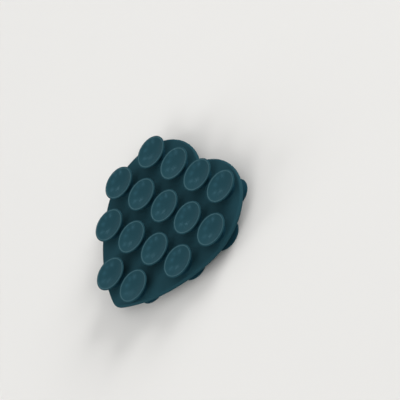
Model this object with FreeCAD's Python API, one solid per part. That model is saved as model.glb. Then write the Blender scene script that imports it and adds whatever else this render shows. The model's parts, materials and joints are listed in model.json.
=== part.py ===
import FreeCAD, Part
import math
import os

# Two-sided suction pad, moulded in one piece: a heart-shaped sheet with suction cups on both faces.
# Sizes are in millimetres. X runs across the heart, Y from its tip to its lobes, Z is up.
# The pad lies on its lower rims, at Z = 0, with the middle of its box over the origin.

# Heart-shaped sheet
sheet_length = 58.8  # from the tip to the tops of the lobes
sheet_thickness = 1.6
lobe_radius = 21.3
lobe_spacing = 24.6  # between the centres of the two lobes
flank_radius = 60.0  # the long arcs between the lobes and the tip
tip_radius = 5.5
notch_radius = 1.5  # fillet between the lobes
edge_bevel = 0.5  # takes the sharp corner off the outline, on both faces

# Suction cups on both faces
cup_rows = (4, 5, 4, 2)  # cups in each row, from the lobes to the tip
cup_height = 3.3  # from the sheet to the rim
lip_width = 0.5  # flat ring round the dish, which seals first
lip_thickness = 0.45  # at the outer edge
dish_depth = 1.1
dish_rings = (1.0, 0.62, 0.25)  # shares of the dish's radius where its curve has a ring
neck_diameter = 6.4
neck_height = 1.0
root_diameter = 7.4  # the foot that spreads onto the sheet
cup_sides = 24  # flats round a cup, which keep thirty cups light

# Field of cups on the upper face
upper_diameter = 12.0  # of a rim
upper_pitch = 14.0  # between neighbours in a row, and between rows

# Field of cups on the lower face, a little smaller and set towards the lobes
lower_diameter = 11.3
lower_pitch = 13.15
lower_shift = 1.5

# Heights that follow
sheet_middle = cup_height + sheet_thickness / 2
half_sheet = sheet_thickness / 2
foot_level = half_sheet / 2  # a cup's foot starts inside the sheet, this far from its middle


def vector(x, y, z=0.0):
    return FreeCAD.Vector(x, y, z)


def arc(centre, radius, start, end):
    """Arc about centre between two angles in radians, drawn from start to end."""
    angles = (start, (start + end) / 2, end)
    points = [centre + vector(radius * math.cos(a), radius * math.sin(a)) for a in angles]
    return Part.Arc(*points).toShape()


def direction(start, end):
    """Angle in radians of the line from start to end."""
    return math.atan2(end.y - start.y, end.x - start.x)


def meeting_point(centre_a, radius_a, centre_b, radius_b):
    """Left-hand crossing of two circles, seen along the line from centre_a to centre_b."""
    gap = centre_b - centre_a
    along = (gap.Length**2 + radius_a**2 - radius_b**2) / (2 * gap.Length)
    aside = math.sqrt(radius_a**2 - along**2)
    unit = gap / gap.Length
    return centre_a + unit * along + vector(-unit.y, unit.x) * aside


def heart_outline():
    """Heart of tangent arcs: notch fillet, lobe and flank on the right, tip, then their mirror images."""
    lobe = vector(lobe_spacing / 2, sheet_length / 2 - lobe_radius)
    tip = vector(0, tip_radius - sheet_length / 2)
    flank = meeting_point(tip, flank_radius - tip_radius, lobe, flank_radius - lobe_radius)
    notch_rise = math.sqrt((lobe_radius + notch_radius) ** 2 - lobe.x**2)
    notch = vector(0, lobe.y + notch_rise)

    into_lobe = direction(notch, lobe)
    out_of_lobe = direction(lobe, notch)
    lobe_to_flank = direction(flank, lobe)
    flank_to_tip = direction(flank, tip)
    right = [
        arc(lobe, lobe_radius, out_of_lobe, lobe_to_flank),
        arc(flank, flank_radius, lobe_to_flank, flank_to_tip),
    ]
    left = [edge.mirror(vector(0, 0), vector(1, 0)) for edge in right]
    tip_arc = arc(tip, tip_radius, flank_to_tip, -math.pi - flank_to_tip)
    notch_arc = arc(notch, notch_radius, into_lobe, -math.pi - into_lobe)
    return Part.Wire(Part.__sortEdges__(right + left + [tip_arc, notch_arc]))


def heart_sheet():
    """The sheet between the cups, with its outline bevelled on both faces."""
    blank = Part.Face(heart_outline()).extrude(vector(0, 0, sheet_thickness))
    blank.translate(vector(0, 0, sheet_middle - half_sheet))
    level_edges = [edge for edge in blank.Edges if edge.BoundBox.ZLength < edge_bevel]
    return blank.makeChamfer(edge_bevel, level_edges)


def dish_height(radius, mouth):
    """Height of the dish, a shallow part of a sphere, above the sheet's middle."""
    sphere = (mouth**2 + dish_depth**2) / (2 * dish_depth)
    return half_sheet + cup_height - dish_depth + sphere - math.sqrt(sphere**2 - radius**2)


def cup_profile(diameter):
    """Rings of a cup from its foot over the lip into the dish: radius, height above the sheet's middle."""
    rim = diameter / 2
    mouth = rim - lip_width
    top = half_sheet + cup_height
    outside = [
        (root_diameter / 2, foot_level),
        (root_diameter / 2, half_sheet),
        (neck_diameter / 2, half_sheet + neck_height),
        (rim, top - lip_thickness),
        (rim, top),
    ]
    dish = [(mouth * share, dish_height(mouth * share, mouth)) for share in dish_rings]
    return outside + dish


def ring(radius, height):
    """Corners of a regular polygon about the Z axis, the first one repeated at the end."""
    turns = [2 * math.pi * k / cup_sides for k in range(cup_sides + 1)]
    return [vector(radius * math.cos(a), radius * math.sin(a), height) for a in turns]


def flat(*corners):
    """Plane face with these corners."""
    return Part.Face(Part.makePolygon([*corners, corners[0]]))


def cup(diameter):
    """A cup about the Z axis that opens upwards, with the sheet's middle at Z = 0."""
    rings = [ring(radius, height) for radius, height in cup_profile(diameter)]
    faces = [flat(*rings[0][1:]), flat(*rings[-1][1:])]
    for low, high in zip(rings, rings[1:]):
        for k in range(cup_sides):
            faces.append(flat(low[k], low[k + 1], high[k + 1], high[k]))
    return Part.Solid(Part.Shell(faces)).removeSplitter()


def cup_places(pitch):
    """Centre of every cup of a field, its rows centred on the heart's middle line."""
    for row, count in enumerate(cup_rows):
        y = ((len(cup_rows) - 1) / 2 - row) * pitch
        for column in range(count):
            yield vector((column - (count - 1) / 2) * pitch, y)


def cup_field(one_cup, pitch, middle):
    """Copies of one cup in rows about a point in the sheet's middle."""
    field = []
    for place in cup_places(pitch):
        copy = one_cup.copy()
        copy.translate(middle + place)
        field.append(copy)
    return field


def suction_pad():
    """The whole moulding, with the flat ring of each lip as a single face."""
    lower_cup = cup(lower_diameter).mirror(vector(0, 0), vector(0, 0, 1))
    upper = cup_field(cup(upper_diameter), upper_pitch, vector(0, 0, sheet_middle))
    lower = cup_field(lower_cup, lower_pitch, vector(0, lower_shift, sheet_middle))
    return heart_sheet().multiFuse(upper + lower).removeSplitter()


os.makedirs("parts", exist_ok=True)
suction_pad().exportStep("parts/suction_pad.step")
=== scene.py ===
import json
import math
import bmesh
import bpy
from bpy.props import FloatProperty, FloatVectorProperty, IntProperty, IntVectorProperty, PointerProperty
from mathutils import Matrix, Vector


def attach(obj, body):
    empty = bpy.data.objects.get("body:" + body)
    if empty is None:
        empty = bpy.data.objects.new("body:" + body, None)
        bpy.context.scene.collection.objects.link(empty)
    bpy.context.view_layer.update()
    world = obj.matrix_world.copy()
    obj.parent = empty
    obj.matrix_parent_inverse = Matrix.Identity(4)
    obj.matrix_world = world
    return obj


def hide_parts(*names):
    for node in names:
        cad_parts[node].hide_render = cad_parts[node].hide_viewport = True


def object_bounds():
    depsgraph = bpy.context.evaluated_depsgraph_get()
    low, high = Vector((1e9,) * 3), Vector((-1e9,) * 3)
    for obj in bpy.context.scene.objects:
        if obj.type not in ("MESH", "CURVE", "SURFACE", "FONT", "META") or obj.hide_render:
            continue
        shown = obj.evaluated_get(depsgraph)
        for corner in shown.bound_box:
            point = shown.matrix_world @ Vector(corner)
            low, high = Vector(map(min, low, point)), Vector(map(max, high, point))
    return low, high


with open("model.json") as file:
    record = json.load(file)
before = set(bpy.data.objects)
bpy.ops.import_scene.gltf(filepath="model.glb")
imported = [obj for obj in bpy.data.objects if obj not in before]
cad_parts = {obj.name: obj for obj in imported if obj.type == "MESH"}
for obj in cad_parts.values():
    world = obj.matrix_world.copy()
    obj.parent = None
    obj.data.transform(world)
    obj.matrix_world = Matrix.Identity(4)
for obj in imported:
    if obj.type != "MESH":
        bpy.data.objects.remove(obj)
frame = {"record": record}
cad_low, cad_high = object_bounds()
cad_size = cad_high - cad_low

bl_info = {
    "name": "Heart suction pad",
    "version": (1, 0, 0),
    "blender": (4, 5, 0),
    "location": "View3D > Sidebar > Suction pad",
    "description": "Models a two-sided heart-shaped suction pad of silicone, and a small studio round it",
    "category": "Object",
}

MM = 0.001
JOIN = 0.0005 * MM  # vertices nearer than this are one
FULL_TURN = 2 * math.pi
SHEET_THICKNESS = 1.6 * MM
SILICONE = frame["record"]["materials"][0]

# Lamps, in metres. Broad ones light the pad, and small ones only show in its gloss.
LAMP_DISTANCE = 1.6
BROAD_SIZE = 0.7
GLINT_SIZE = 0.16
GLINT_COLOUR = (0.6, 0.88, 1.0)
# Name, azimuth and elevation in degrees, share of the whole light
BROAD_LAMPS = (("back", 180, 18, 0.205), ("right", 30, 36, 0.105), ("left", -30, 18, 0.072))
# Place of a glint in every upper dish, in millimetres along X and Y from its middle, and its lamp's share
GLINTS = (
    (-2.3, 3.3, 0.18),
    (-3.8, 1.8, 0.21),
    (-3.5, -0.4, 0.23),
    (0.3, -1.7, 0.046),
    (-1.7, -2.9, 0.105),
)

# Noise in the silicone's pigment and grain, and the flats round the floor
DRIFT_DETAIL = 3.0
DRIFT_ROUGHNESS = 0.6
GRAIN_DETAIL = 2.0
FLOOR_SIDES = 96


def length(name, description, millimetres):
    """A length that a user can change, in Blender's unit, from a size in millimetres."""
    return FloatProperty(
        name=name, description=description, default=millimetres * MM, min=0.0, unit="LENGTH", precision=5
    )


def angle(name, description, degrees):
    """An angle that a user can change, in Blender's unit, from degrees."""
    return FloatProperty(name=name, description=description, default=math.radians(degrees), subtype="ANGLE")


def share(name, description, default):
    """A share from none to all that a user can change."""
    return FloatProperty(
        name=name, description=description, default=default, min=0.0, max=1.0, subtype="FACTOR"
    )


def colour(name, description, default):
    """A colour that a user can change, in linear light."""
    return FloatVectorProperty(
        name=name, description=description, default=default, size=3, min=0.0, max=1.0, subtype="COLOR"
    )


class SheetSizes(bpy.types.PropertyGroup):
    """Heart-shaped sheet between the two fields of cups"""

    length: length("Length", "From the tip to the tops of the lobes", cad_size.y / MM)
    thickness: length("Thickness", "Of the sheet alone", SHEET_THICKNESS / MM)
    lobe_radius: length("Lobe radius", "Of the two upper arcs", 21.3)
    lobe_spacing: length("Lobe spacing", "Between the centres of the two lobes", 24.6)
    flank_radius: length("Flank radius", "Of the long arcs between the lobes and the tip", 60.0)
    tip_radius: length("Tip radius", "Of the rounded tip", 5.5)
    notch_radius: length("Notch radius", "Of the fillet between the lobes", 1.5)
    edge_round: length("Edge rounding", "Of the outline, on both faces", 0.7)
    edge_steps: IntProperty(name="Edge steps", description="Flats across a rounded edge", default=6, min=1)
    border: length("Border", "Flat band inside the rounded edge", 0.08)
    arc_error: length("Arc error", "How far a flat may lie inside its arc", 0.004)


class CupSizes(bpy.types.PropertyGroup):
    """Suction cups in rows on both faces"""

    rows: IntVectorProperty(
        name="Rows", description="Cups in each row, from the lobes to the tip", size=4, default=(4, 5, 4, 2)
    )
    upper_diameter: length("Upper diameter", "Of a rim on the upper face", 12.0)
    upper_pitch: length("Upper pitch", "Between neighbours and between rows on the upper face", 14.0)
    lower_diameter: length("Lower diameter", "Of a rim on the lower face", 11.3)
    lower_pitch: length("Lower pitch", "Between neighbours and between rows on the lower face", 13.15)
    lower_shift: length("Lower shift", "Of the lower field towards the lobes", 1.5)
    height: length("Height", "From the sheet to the rim", (cad_size.z - SHEET_THICKNESS) / 2 / MM)
    lip_width: length("Lip width", "Of the ring round the dish", 0.5)
    lip_thickness: length("Lip thickness", "At the outer edge", 0.45)
    lip_round: length("Lip rounding", "Of the lip's corners", 0.22)
    dish_depth: length("Dish depth", "Of the hollow, a shallow part of a sphere", 1.1)
    neck_diameter: length("Neck diameter", "At the waist", 6.4)
    neck_height: length("Neck height", "From the sheet to the waist", 1.0)
    waist_round: length("Waist rounding", "Where the neck opens into the cup", 0.5)
    root_diameter: length("Root diameter", "Where the neck would meet the sheet", 7.0)
    root_round: length("Root rounding", "Fillet between the neck and the sheet", 0.3)
    collar: length("Collar", "Flat band of the sheet that joins a root", 0.06)
    sides: IntProperty(name="Sides", description="Flats round a cup", default=64, min=8)
    dish_steps: IntProperty(name="Dish steps", description="Flats across half a dish", default=8, min=2)
    round_steps: IntProperty(name="Rounding steps", description="Flats across a rounding", default=4, min=1)


class SiliconeFinish(bpy.types.PropertyGroup):
    """Pigmented silicone from a mould, matt on the sheet and smoother in the cups"""

    colour: colour("Colour", "Of the pigmented silicone", SILICONE["base_color"])
    deep_colour: colour("Deep colour", "Where the pigment is a little denser", (0.015, 0.054, 0.071))
    # Painted highlight: a lighter ring along each dish's edge, where the rounded lip would catch the light
    lip_highlight_colour: colour("Lip colour", "Of the thin lips, which let light through", (0.056, 0.122, 0.142))
    # Painted shade: darker necks and cup undersides, under the lips and in the slots between cups
    neck_shade_colour: colour("Neck colour", "Of the thick necks, up to the lips", (0.008, 0.038, 0.057))
    sheet_roughness: share("Sheet roughness", "Of the etched mould's finish", 0.6)
    dish_roughness: share("Dish roughness", "Of the polished mould's finish in the cups", 0.22)
    gloss: share("Gloss", "Of the surface, where one half is that of glass", 0.011)
    gloss_tint: colour("Gloss tint", "Of reflections that meet the surface squarely", (0.2, 0.75, 1.0))
    cloud_size: length("Cloud size", "Of the drifts in the pigment", 9.0)
    grain_size: length("Grain size", "Of the etched grain", 0.16)
    grain_depth: length("Grain depth", "Of the etched grain", 0.006)


class StudioSettings(bpy.types.PropertyGroup):
    """Floor, lamps and camera"""

    floor_colour: colour("Floor colour", "Of the plain floor", (0.80, 0.79, 0.77))
    floor_roughness: share("Floor roughness", "Of the matt floor", 0.9)
    floor_gloss: share("Floor gloss", "Of the floor, where one half is that of glass", 0.1)
    floor_radius: length("Floor radius", "Of the round floor", 3000.0)
    even_light: share("Even light", "From all round, as a share of the whole light", 0.575)
    aim: FloatVectorProperty(
        name="Aim", description="What the camera looks at", size=3, subtype="TRANSLATION", unit="LENGTH",
        default=(15.56 * MM, 14.01 * MM, cad_size.z),
    )
    camera_distance: length("Distance", "From the camera to its aim", 1487.2)
    camera_azimuth: angle("Azimuth", "Of the camera round the pad", 86.77)
    camera_elevation: angle("Elevation", "Of the camera over the floor", 37.45)
    camera_roll: angle("Roll", "Of the camera about its line of sight", -58.2)
    lens: FloatProperty(name="Lens", description="Focal length", default=410.8, unit="CAMERA")


class PadSettings(bpy.types.PropertyGroup):
    """All that a user can change"""

    sheet: PointerProperty(type=SheetSizes)
    cup: PointerProperty(type=CupSizes)
    finish: PointerProperty(type=SiliconeFinish)
    studio: PointerProperty(type=StudioSettings)


def heading(start, end):
    """Angle of the line from start to end, in the plane of the sheet."""
    return math.atan2(end.y - start.y, end.x - start.x)


def meeting_point(centre_a, radius_a, centre_b, radius_b):
    """Left-hand crossing of two circles, seen along the line from centre_a to centre_b."""
    gap = centre_b - centre_a
    along = (gap.length_squared + radius_a**2 - radius_b**2) / (2 * gap.length)
    aside = math.sqrt(radius_a**2 - along**2)
    unit = gap.normalized()
    return centre_a + unit * along + Vector((-unit.y, unit.x, 0)) * aside


def sweep(bm, vert, centre, turn, steps, axis=(0, 0, 1)):
    """Draws an arc from vert about centre, and returns its last vertex."""
    arc = bmesh.ops.spin(bm, geom=[vert], cent=centre, axis=axis, angle=turn, steps=steps)
    return next(item for item in arc["geom_last"] if isinstance(item, bmesh.types.BMVert))


def arc_steps(radius, turn, error):
    """Flats that keep an arc within error of its circle."""
    return math.ceil(abs(turn) / (2 * math.acos(1 - error / radius)))


def draw_heart(bm, sheet):
    """Outline of the sheet as one face: tangent arcs from the notch to the tip, and their mirror images."""
    lobe = Vector((sheet.lobe_spacing / 2, sheet.length / 2 - sheet.lobe_radius, 0))
    tip = Vector((0, sheet.tip_radius - sheet.length / 2, 0))
    flank = meeting_point(
        tip, sheet.flank_radius - sheet.tip_radius, lobe, sheet.flank_radius - sheet.lobe_radius
    )
    notch_rise = math.sqrt((sheet.lobe_radius + sheet.notch_radius) ** 2 - lobe.x**2)
    notch = Vector((0, lobe.y + notch_rise, 0))
    south = -math.pi / 2
    lobe_to_flank = heading(flank, lobe)
    flank_to_tip = heading(flank, tip)
    arcs = (
        (notch, sheet.notch_radius, heading(notch, lobe) - south),
        (lobe, sheet.lobe_radius, lobe_to_flank - heading(lobe, notch)),
        (flank, sheet.flank_radius, flank_to_tip - lobe_to_flank),
        (tip, sheet.tip_radius, south - flank_to_tip),
    )
    vert = bm.verts.new(notch - Vector((0, sheet.notch_radius, 0)))
    for centre, radius, turn in arcs:
        vert = sweep(bm, vert, centre, turn, arc_steps(radius, turn, sheet.arc_error))
    bmesh.ops.mirror(bm, geom=bm.verts[:] + bm.edges[:], merge_dist=JOIN, axis="X")
    return bmesh.ops.contextual_create(bm, geom=bm.edges[:])["faces"][0]


def raise_half_sheet(bm, sheet):
    """Upper half of the sheet over its middle plane, with a rounded edge and an open top."""
    half = sheet.thickness / 2
    middle = draw_heart(bm, sheet)
    raised = bmesh.ops.extrude_face_region(bm, geom=[middle])["geom"]
    raised_verts = [item for item in raised if isinstance(item, bmesh.types.BMVert)]
    raised_edges = [item for item in raised if isinstance(item, bmesh.types.BMEdge)]
    bmesh.ops.translate(bm, vec=(0, 0, half), verts=raised_verts)
    bmesh.ops.delete(bm, geom=[middle], context="FACES_ONLY")
    bmesh.ops.bevel(
        bm,
        geom=raised_edges,
        offset=sheet.edge_round,
        offset_type="OFFSET",
        segments=sheet.edge_steps,
        profile=0.5,
        affect="EDGES",
        material=-1,
    )
    top = max(bm.faces, key=lambda face: face.calc_area())
    bmesh.ops.inset_region(bm, faces=[top], thickness=sheet.border, use_even_offset=True)
    bmesh.ops.delete(bm, geom=[top], context="FACES_ONLY")


def mouth_radius(cup, diameter):
    """Radius of a dish at its rim, inside the lip."""
    return diameter / 2 - cup.lip_width


def dish_radius(cup, diameter):
    """Radius of the sphere that a dish is a part of."""
    return (mouth_radius(cup, diameter) ** 2 + cup.dish_depth**2) / (2 * cup.dish_depth)


def draw_cup_profile(bm, cup, diameter, base):
    """Half section of a cup in the XZ plane, from its collar over the lip to the dish's middle."""
    rim = diameter / 2
    mouth = mouth_radius(cup, diameter)
    top = base + cup.height
    root = cup.root_diameter / 2
    corners = (
        (root, base, cup.root_round),
        (cup.neck_diameter / 2, base + cup.neck_height, cup.waist_round),
        (rim, top - cup.lip_thickness, cup.lip_round),
        (rim, top, cup.lip_round),
        (mouth, top, cup.lip_round),
    )
    vert = bm.verts.new((root + cup.root_round + cup.collar, 0, base))
    chain = []
    for x, z, _rounding in corners:
        vert = bmesh.ops.extrude_vert_indiv(bm, verts=[vert])["verts"][0]
        vert.co = (x, 0, z)
        chain.append(vert)
    sphere = dish_radius(cup, diameter)
    centre = (0, 0, top - cup.dish_depth + sphere)
    sweep(bm, vert, centre, math.asin(mouth / sphere), cup.dish_steps, axis=(0, 1, 0))
    for vert, (_x, _z, rounding) in zip(chain, corners):
        bmesh.ops.bevel(
            bm,
            geom=[vert],
            offset=rounding,
            offset_type="OFFSET",
            segments=cup.round_steps,
            profile=0.5,
            affect="VERTICES",
            material=-1,
        )


def make_cup(cup, diameter, base):
    """One cup on the Z axis, with its lip marked for a painted highlight, its dish for a smoother finish
    and its neck for painted shade.
    """
    bm = bmesh.new()
    draw_cup_profile(bm, cup, diameter, base)
    bmesh.ops.spin(
        bm, geom=bm.verts[:] + bm.edges[:], cent=(0, 0, 0), axis=(0, 0, 1), angle=FULL_TURN,
        steps=cup.sides, use_merge=True,
    )
    bmesh.ops.remove_doubles(bm, verts=bm.verts, dist=JOIN)
    lip = bm.verts.layers.float.new("lip")
    dish = bm.verts.layers.float.new("dish")
    neck = bm.verts.layers.float.new("neck")
    mouth = mouth_radius(cup, diameter)
    for vert in bm.verts:
        radius = vert.co.xy.length
        rise = vert.co.z - base
        if rise > cup.height - cup.lip_round:
            # painted highlight, brightest along the dish's edge
            vert[lip] = max(0.0, 1.0 - abs(radius - mouth) / cup.lip_round)
        in_dish = radius < mouth and rise > cup.neck_height
        vert[dish] = float(in_dish)
        # painted shade on the necks and the undersides under the lips
        vert[neck] = float(not in_dish and JOIN < rise < cup.height - cup.lip_thickness)
    mesh = bpy.data.meshes.new("cup")
    bm.to_mesh(mesh)
    bm.free()
    return mesh


def cup_places(cup, pitch, shift):
    """Centre of every cup of a field, its rows centred on the heart's middle line."""
    for row, count in enumerate(cup.rows):
        y = ((len(cup.rows) - 1) / 2 - row) * pitch + shift
        for column in range(count):
            yield Vector(((column - (count - 1) / 2) * pitch, y, 0))


def make_face(settings, diameter, pitch, shift):
    """One face of the pad over its middle plane: half the sheet and its cups, closed between them."""
    base = settings.sheet.thickness / 2
    cup = make_cup(settings.cup, diameter, base)
    bm = bmesh.new()
    raise_half_sheet(bm, settings.sheet)
    for place in cup_places(settings.cup, pitch, shift):
        start = len(bm.verts)
        bm.from_mesh(cup)
        bm.verts.ensure_lookup_table()
        bmesh.ops.translate(bm, verts=bm.verts[start:], vec=place)
    rims = [edge for edge in bm.edges if edge.is_boundary and min(v.co.z for v in edge.verts) > base - JOIN]
    bmesh.ops.triangle_fill(bm, edges=rims, use_beauty=True, normal=(0, 0, 1))
    bpy.data.meshes.remove(cup)
    return bm


def make_pad(settings):
    """The whole moulding: its two faces, joined round the middle of the sheet's edge."""
    cup = settings.cup
    upper = make_face(settings, cup.upper_diameter, cup.upper_pitch, 0.0)
    lower = make_face(settings, cup.lower_diameter, cup.lower_pitch, cup.lower_shift)
    bmesh.ops.scale(lower, vec=(1, 1, -1), verts=lower.verts)
    mesh = bpy.data.meshes.new("silicone_pad")
    lower.to_mesh(mesh)
    upper.from_mesh(mesh)
    bmesh.ops.remove_doubles(upper, verts=upper.verts, dist=JOIN)
    bmesh.ops.translate(upper, verts=upper.verts, vec=(0, 0, cad_size.z / 2))
    bmesh.ops.recalc_face_normals(upper, faces=upper.faces)
    if any(not edge.is_manifold for edge in upper.edges):
        raise RuntimeError("The pad isn't closed: a cup's collar meets the sheet's edge or another cup.")
    for face in upper.faces:
        face.smooth = True
    upper.to_mesh(mesh)
    upper.free()
    lower.free()
    return mesh


def add_node(tree, kind, values=None, **settings):
    """A node with its settings and the values of its unlinked sockets."""
    made = tree.nodes.new(kind)
    for name, value in settings.items():
        setattr(made, name, value)
    for name, value in (values or {}).items():
        made.inputs[name].default_value = value
    return made


def opaque(rgb):
    """A colour with full alpha, as a node's socket takes it."""
    return (*rgb, 1.0)


def mix_colours(tree, factor, first, second):
    """A blend of two colours by a mask. The first may also be another node's output."""
    mix = add_node(tree, "ShaderNodeMix", data_type="RGBA")
    sockets = {socket.identifier: socket for socket in mix.inputs}
    tree.links.new(factor, sockets["Factor_Float"])
    if isinstance(first, bpy.types.NodeSocket):
        tree.links.new(first, sockets["A_Color"])
    else:
        sockets["A_Color"].default_value = opaque(first)
    sockets["B_Color"].default_value = opaque(second)
    return next(socket for socket in mix.outputs if socket.identifier == "Result_Color")


def mask(tree, name):
    """A mask that the mesh carries."""
    return add_node(tree, "ShaderNodeAttribute", attribute_name=name).outputs["Fac"]


def silicone_material(finish):
    """Pigmented silicone that drifts a little, with painted shade on the necks, a painted highlight along
    the lips and smoother dishes.
    """
    material = bpy.data.materials.new("silicone")
    material.use_nodes = True
    tree = material.node_tree
    link = tree.links.new
    skin = tree.nodes["Principled BSDF"]
    skin.inputs["Specular IOR Level"].default_value = finish.gloss
    skin.inputs["Specular Tint"].default_value = opaque(finish.gloss_tint)
    place = add_node(tree, "ShaderNodeTexCoord").outputs["Object"]

    drift = add_node(
        tree,
        "ShaderNodeTexNoise",
        {"Scale": 1 / finish.cloud_size, "Detail": DRIFT_DETAIL, "Roughness": DRIFT_ROUGHNESS},
    )
    link(place, drift.inputs["Vector"])
    pigment = mix_colours(tree, drift.outputs["Fac"], finish.deep_colour, finish.colour)
    # painted shade on the necks and the undersides of the cups
    neck_shaded = mix_colours(tree, mask(tree, "neck"), pigment, finish.neck_shade_colour)
    # painted highlight along the lips
    link(mix_colours(tree, mask(tree, "lip"), neck_shaded, finish.lip_highlight_colour), skin.inputs["Base Color"])

    polish = add_node(
        tree, "ShaderNodeMapRange", {"To Min": finish.sheet_roughness, "To Max": finish.dish_roughness}
    )
    link(mask(tree, "dish"), polish.inputs["Value"])
    link(polish.outputs["Result"], skin.inputs["Roughness"])

    grain = add_node(tree, "ShaderNodeTexNoise", {"Scale": 1 / finish.grain_size, "Detail": GRAIN_DETAIL})
    etched = add_node(tree, "ShaderNodeMapRange", {"To Min": 1.0, "To Max": 0.0})
    depth = add_node(tree, "ShaderNodeMath", operation="MULTIPLY")
    relief = add_node(tree, "ShaderNodeBump", {"Distance": finish.grain_depth, "Strength": 1.0})
    link(place, grain.inputs["Vector"])
    link(mask(tree, "dish"), etched.inputs["Value"])
    link(grain.outputs["Fac"], depth.inputs[0])
    link(etched.outputs["Result"], depth.inputs[1])
    link(depth.outputs["Value"], relief.inputs["Height"])
    link(relief.outputs["Normal"], skin.inputs["Normal"])
    return material


class SUCTION_PAD_OT_model(bpy.types.Operator):
    """Model the silicone pad with the cups on both of its faces"""

    bl_idname = "suction_pad.model"
    bl_label = "Model the pad"

    def execute(self, context):
        settings = context.scene.suction_pad
        pad = bpy.data.objects.new("silicone_pad", make_pad(settings))
        context.scene.collection.objects.link(pad)
        pad.data.materials.append(silicone_material(settings.finish))
        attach(pad, "root")
        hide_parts("suction_pad")
        return {"FINISHED"}


def floor_material(studio):
    """Plain matt floor."""
    material = bpy.data.materials.new("floor")
    material.use_nodes = True
    surface = material.node_tree.nodes["Principled BSDF"]
    surface.inputs["Base Color"].default_value = opaque(studio.floor_colour)
    surface.inputs["Roughness"].default_value = studio.floor_roughness
    surface.inputs["Specular IOR Level"].default_value = studio.floor_gloss
    return material


def make_floor(studio):
    """Wide round floor under the pad's lower rims."""
    bm = bmesh.new()
    bmesh.ops.create_circle(bm, cap_ends=True, radius=studio.floor_radius, segments=FLOOR_SIDES)
    mesh = bpy.data.meshes.new("floor")
    bm.to_mesh(mesh)
    bm.free()
    mesh.materials.append(floor_material(studio))
    floor = bpy.data.objects.new("floor", mesh)
    bpy.context.scene.collection.objects.link(floor)


def outward(azimuth, elevation):
    """Direction from the pad, where azimuth 0 is on the -Y side and a quarter turn is on the +X side."""
    level = math.cos(elevation)
    return Vector((math.sin(azimuth) * level, -math.cos(azimuth) * level, math.sin(elevation)))


def add_lamp(name, direction, size, share_of_light):
    """A square lamp that shines at the pad, and would give the floor there a share of the whole light."""
    lamp = bpy.data.lights.new(name, "AREA")
    lamp.shape = "SQUARE"
    lamp.size = size
    lamp.energy = share_of_light * 4 * math.pi * LAMP_DISTANCE**2 / direction.z
    holder = bpy.data.objects.new(name, lamp)
    holder.location = direction * LAMP_DISTANCE
    holder.rotation_euler = (-direction).to_track_quat("-Z", "Y").to_euler()
    bpy.context.scene.collection.objects.link(holder)
    return holder


def add_broad_lamps():
    """Soft lamps that stay out of the gloss."""
    for name, azimuth, elevation, share_of_light in BROAD_LAMPS:
        direction = outward(math.radians(azimuth), math.radians(elevation))
        add_lamp(name, direction, BROAD_SIZE, share_of_light).visible_glossy = False


def add_glint_lamps(cup, studio):
    """Small lamps that the camera sees mirrored in the upper dishes, each at its own place."""
    view = outward(studio.camera_azimuth, studio.camera_elevation)
    sphere = dish_radius(cup, cup.upper_diameter)
    for number, (x, y, share_of_light) in enumerate(GLINTS):
        across = Vector((x, y, 0)) * MM
        slope = Vector((0, 0, math.sqrt(sphere**2 - across.length_squared))) - across
        lamp = add_lamp(f"glint_{number}", (-view).reflect(slope), GLINT_SIZE, share_of_light)
        lamp.data.color = GLINT_COLOUR
        lamp.visible_diffuse = False


def light_world(studio):
    """Even light from all round, which shows as a backdrop of the floor's colour."""
    world = bpy.data.worlds.new("studio")
    world.use_nodes = True
    world.cycles.sampling_method = "NONE"  # an even light needs no aimed samples, so the lamps get them all
    bpy.context.scene.world = world
    tree = world.node_tree
    link = tree.links.new
    even = tree.nodes["Background"]
    even.inputs["Color"].default_value = opaque((1, 1, 1))
    even.inputs["Strength"].default_value = studio.even_light
    backdrop = add_node(tree, "ShaderNodeBackground", {"Color": opaque(studio.floor_colour)})
    rays = add_node(tree, "ShaderNodeLightPath")
    mirrored = add_node(tree, "ShaderNodeMath", operation="MAXIMUM")
    seen = add_node(tree, "ShaderNodeMath", operation="MAXIMUM")
    choice = add_node(tree, "ShaderNodeMixShader")
    link(rays.outputs["Is Glossy Ray"], mirrored.inputs[0])
    link(rays.outputs["Is Transmission Ray"], mirrored.inputs[1])
    link(rays.outputs["Is Camera Ray"], seen.inputs[0])
    link(mirrored.outputs["Value"], seen.inputs[1])
    link(seen.outputs["Value"], choice.inputs["Fac"])
    link(even.outputs["Background"], choice.inputs[1])
    link(backdrop.outputs["Background"], choice.inputs[2])
    link(choice.outputs["Shader"], tree.nodes["World Output"].inputs["Surface"])


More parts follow.
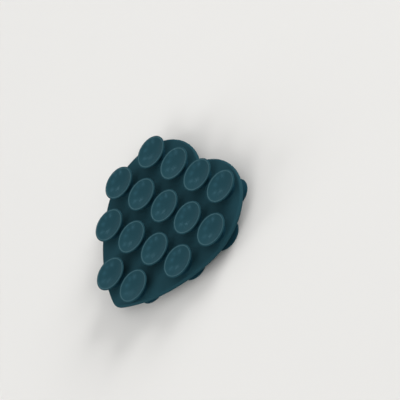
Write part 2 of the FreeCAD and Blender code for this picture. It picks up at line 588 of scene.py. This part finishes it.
def aim_camera(studio):
    """Long lens at the studio's distance from its aim, rolled about its line of sight."""
    camera = bpy.data.objects.new("camera", bpy.data.cameras.new("camera"))
    camera.data.lens = studio.lens
    back = outward(studio.camera_azimuth, studio.camera_elevation)
    camera.location = Vector(studio.aim) + back * studio.camera_distance
    level = (-back).to_track_quat("-Z", "Y").to_matrix()
    turn = Matrix.Rotation(studio.camera_roll, 3, "Z")
    camera.rotation_euler = (level @ turn).to_euler()
    bpy.context.scene.collection.objects.link(camera)
    bpy.context.scene.camera = camera


class SUCTION_PAD_OT_studio(bpy.types.Operator):
    """Set a plain floor, soft lamps and the camera round the pad"""

    bl_idname = "suction_pad.studio"
    bl_label = "Set the studio"

    def execute(self, context):
        studio = context.scene.suction_pad.studio
        make_floor(studio)
        light_world(studio)
        add_broad_lamps()
        add_glint_lamps(context.scene.suction_pad.cup, studio)
        aim_camera(studio)
        context.scene.view_settings.view_transform = "Standard"
        return {"FINISHED"}


class SUCTION_PAD_PT_sidebar(bpy.types.Panel):
    """Lists the pad's operators and settings"""

    bl_idname = "SUCTION_PAD_PT_sidebar"
    bl_label = "Suction pad"
    bl_space_type = "VIEW_3D"
    bl_region_type = "UI"
    bl_category = "Suction pad"

    def draw(self, context):
        layout = self.layout
        layout.operator(SUCTION_PAD_OT_model.bl_idname)
        layout.operator(SUCTION_PAD_OT_studio.bl_idname)
        settings = context.scene.suction_pad
        for group in (settings.sheet, settings.cup, settings.finish, settings.studio):
            box = layout.box()
            for name in group.__annotations__:
                box.prop(group, name)


CLASSES = (
    SheetSizes,
    CupSizes,
    SiliconeFinish,
    StudioSettings,
    PadSettings,
    SUCTION_PAD_OT_model,
    SUCTION_PAD_OT_studio,
    SUCTION_PAD_PT_sidebar,
)


def register():
    for cls in CLASSES:
        bpy.utils.register_class(cls)
    bpy.types.Scene.suction_pad = PointerProperty(type=PadSettings)


def unregister():
    del bpy.types.Scene.suction_pad
    for cls in reversed(CLASSES):
        bpy.utils.unregister_class(cls)


def main():
    """Models the pad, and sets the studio."""
    register()
    bpy.ops.suction_pad.model()
    bpy.ops.suction_pad.studio()


if __name__ == "__main__":
    main()
